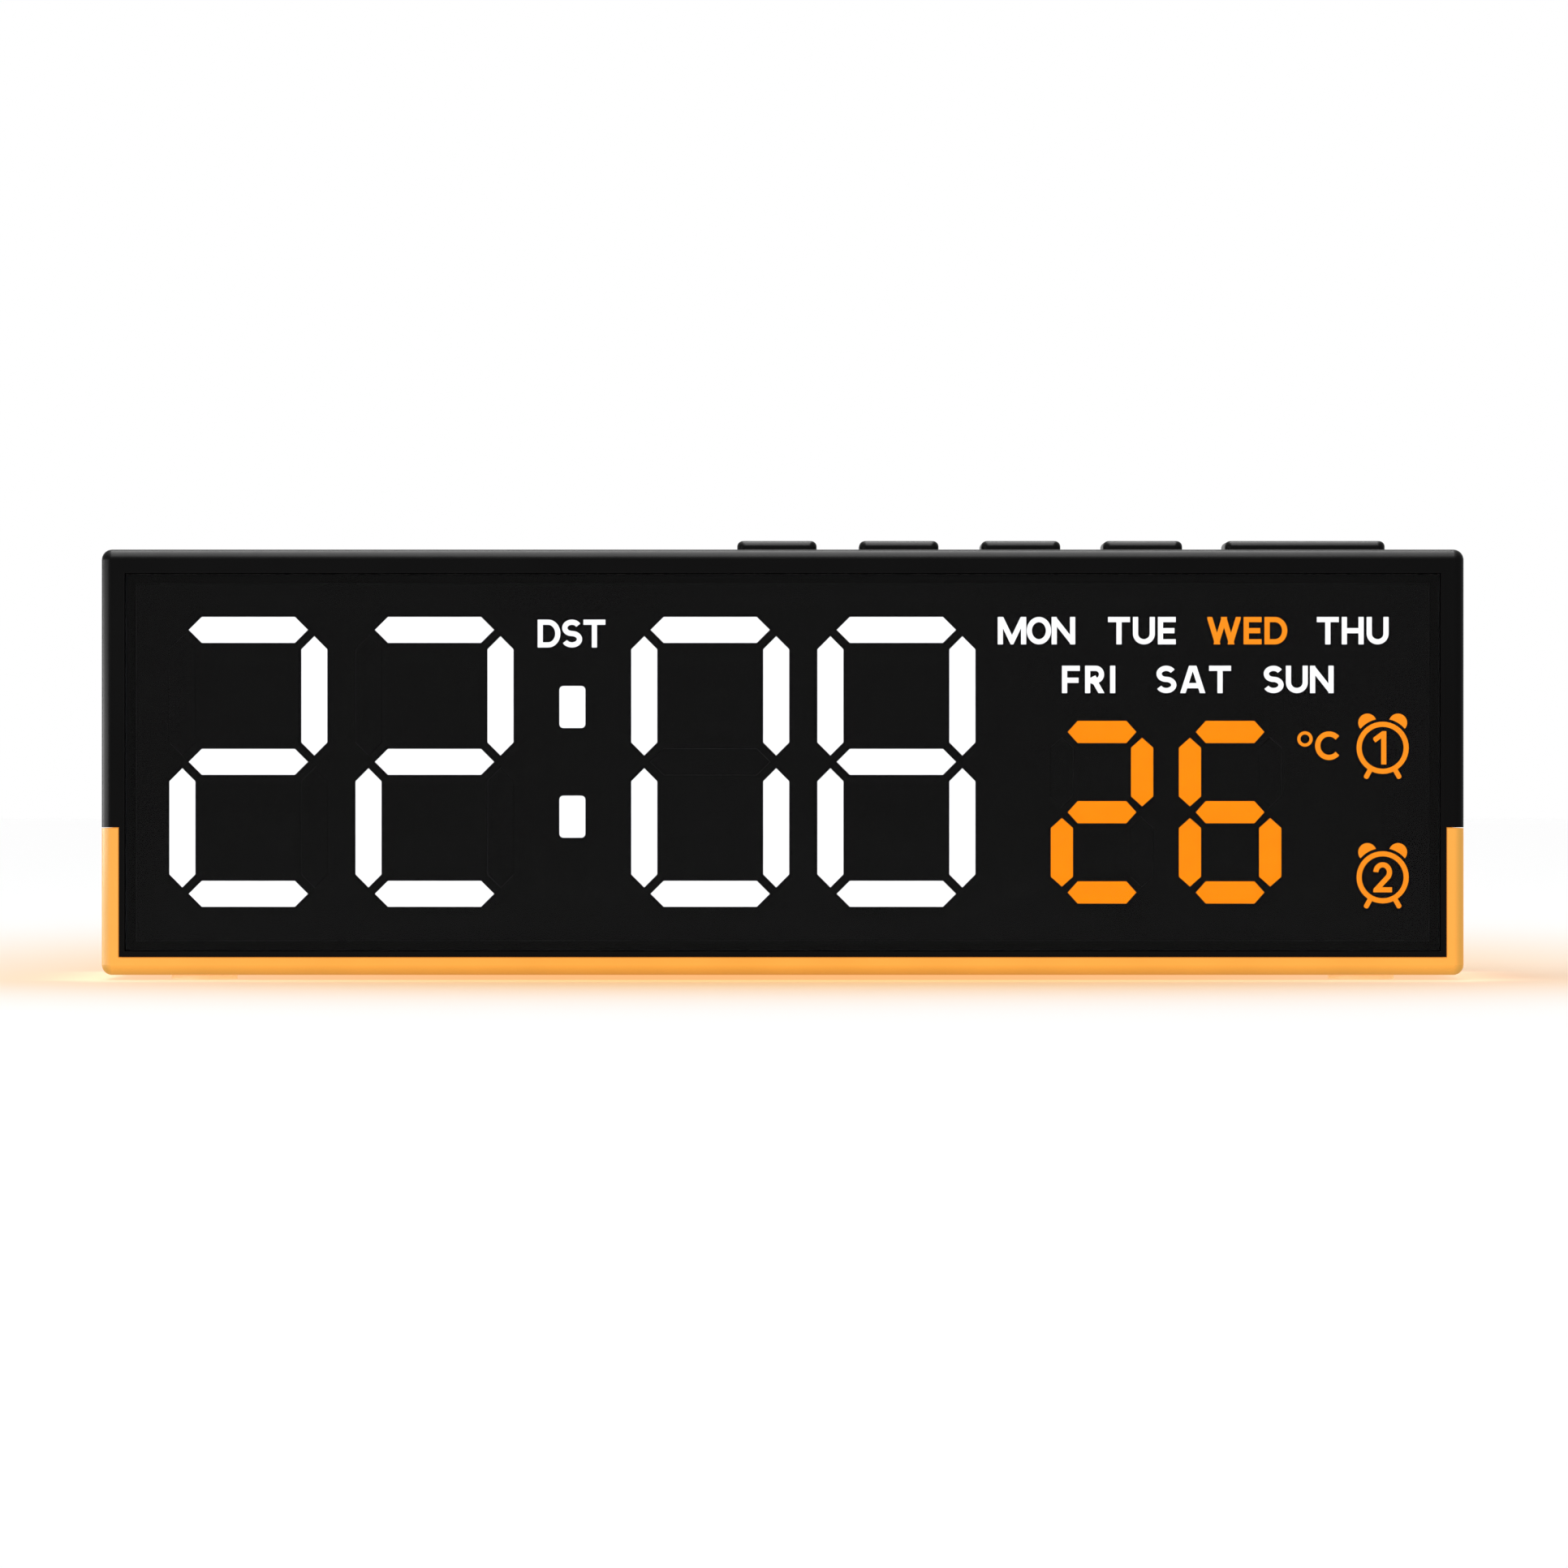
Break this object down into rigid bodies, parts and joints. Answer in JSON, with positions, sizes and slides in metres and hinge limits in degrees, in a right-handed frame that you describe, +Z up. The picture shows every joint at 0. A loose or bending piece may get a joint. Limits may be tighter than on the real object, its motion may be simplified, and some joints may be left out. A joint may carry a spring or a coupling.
{
  "type": "digital alarm clock",
  "caption": "Slim desk alarm clock: black case, seven-segment display behind a smoked lens, press buttons on top, amber light bar round the base and a rear battery door.",
  "frame": {"origin": "on the table top, below the middle of the case", "axes": "+X to the viewer's right, +Y from the front to the rear, +Z up"},
  "size_m": [0.165, 0.028, 0.0538],
  "materials": {
    "case_black": "fine matte black moulding",
    "button_black": "satin black moulding",
    "amber_diffuser": "milky amber light diffuser",
    "smoked_lens": "polished smoked acrylic",
    "mask_black": "printed black film",
    "lit_white": "milky resin, lit white",
    "lit_amber": "milky resin, lit amber",
    "unlit_resin": "tinted resin, unlit",
    "reflector_white": "white moulding",
    "board_green": "green solder mask",
    "led_body": "light chip",
    "chip_black": "moulded chip",
    "tinned_lead": "tinned brass",
    "bright_steel": "plated steel",
    "contact_brass": "plated brass",
    "can_aluminium": "drawn aluminium",
    "flex_white": "white flexible strip",
    "foot_rubber": "clear soft silicone rubber"
  },
  "bodies": {
    "case": {"housing": "case_black", "light_bar": "amber_diffuser", "front_lens": "smoked_lens", "rear_cover": "case_black", "display_mask": "mask_black", "time_segments_lit": "lit_white", "time_segments_dark": "unlit_resin", "colon_dots": "lit_white", "temperature_segments_lit": "lit_amber", "temperature_segments_dark": "unlit_resin", "reflector": "reflector_white", "display_board": "board_green", "white_leds": "led_body", "amber_leds": "led_body", "controller_chip": "chip_black", "driver_chip": "chip_black", "chip_leads": "tinned_lead", "quartz_crystal": "bright_steel", "filter_capacitor": "can_aluminium", "buzzer": "chip_black", "temperature_sensor": "chip_black", "button_board": "board_green", "switch_bodies": "chip_black", "power_board": "board_green", "usb_shell": "bright_steel", "usb_insulator": "chip_black", "header_strips": "chip_black", "header_pins": "contact_brass", "coin_cell": "bright_steel", "battery_contact_negative": "contact_brass", "battery_contact_positive": "contact_brass", "light_strip": "flex_white", "light_strip_leds": "led_body", "strip_connector": "flex_white", "cover_screws": "bright_steel", "board_screws": "bright_steel", "base_screws": "bright_steel", "feet": "foot_rubber"},
    "set_key": {"set_button": "button_black", "set_plunger": "chip_black"},
    "minus_key": {"minus_button": "button_black", "minus_plunger": "chip_black"},
    "plus_key": {"plus_button": "button_black", "plus_plunger": "chip_black"},
    "alarm_key": {"alarm_button": "button_black", "alarm_plunger": "chip_black"},
    "snooze_key": {"snooze_button": "button_black", "snooze_plunger": "chip_black"},
    "battery_hatch": {"battery_door": "case_black"}
  },
  "joints": [
    {"name": "set_press", "type": "slide", "parent": "case", "child": "set_key", "axis": [0, 0, -1], "range_m": [0, 0.0005], "stiffness_N_per_m": 2000, "springref_m": -0.0001},
    {"name": "minus_press", "type": "slide", "parent": "case", "child": "minus_key", "axis": [0, 0, -1], "range_m": [0, 0.0005], "stiffness_N_per_m": 2000, "springref_m": -0.0001},
    {"name": "plus_press", "type": "slide", "parent": "case", "child": "plus_key", "axis": [0, 0, -1], "range_m": [0, 0.0005], "stiffness_N_per_m": 2000, "springref_m": -0.0001},
    {"name": "alarm_press", "type": "slide", "parent": "case", "child": "alarm_key", "axis": [0, 0, -1], "range_m": [0, 0.0005], "stiffness_N_per_m": 2000, "springref_m": -0.0001},
    {"name": "snooze_press", "type": "slide", "parent": "case", "child": "snooze_key", "axis": [0, 0, -1], "range_m": [0, 0.0005], "stiffness_N_per_m": 2000, "springref_m": -0.0001},
    {"name": "battery_door_swing", "type": "hinge", "parent": "case", "child": "battery_hatch", "pos_m": [0.03801, 0.0132, 0.0362], "axis": [1, 0, 0], "range_deg": [0, 75]}
  ]
}
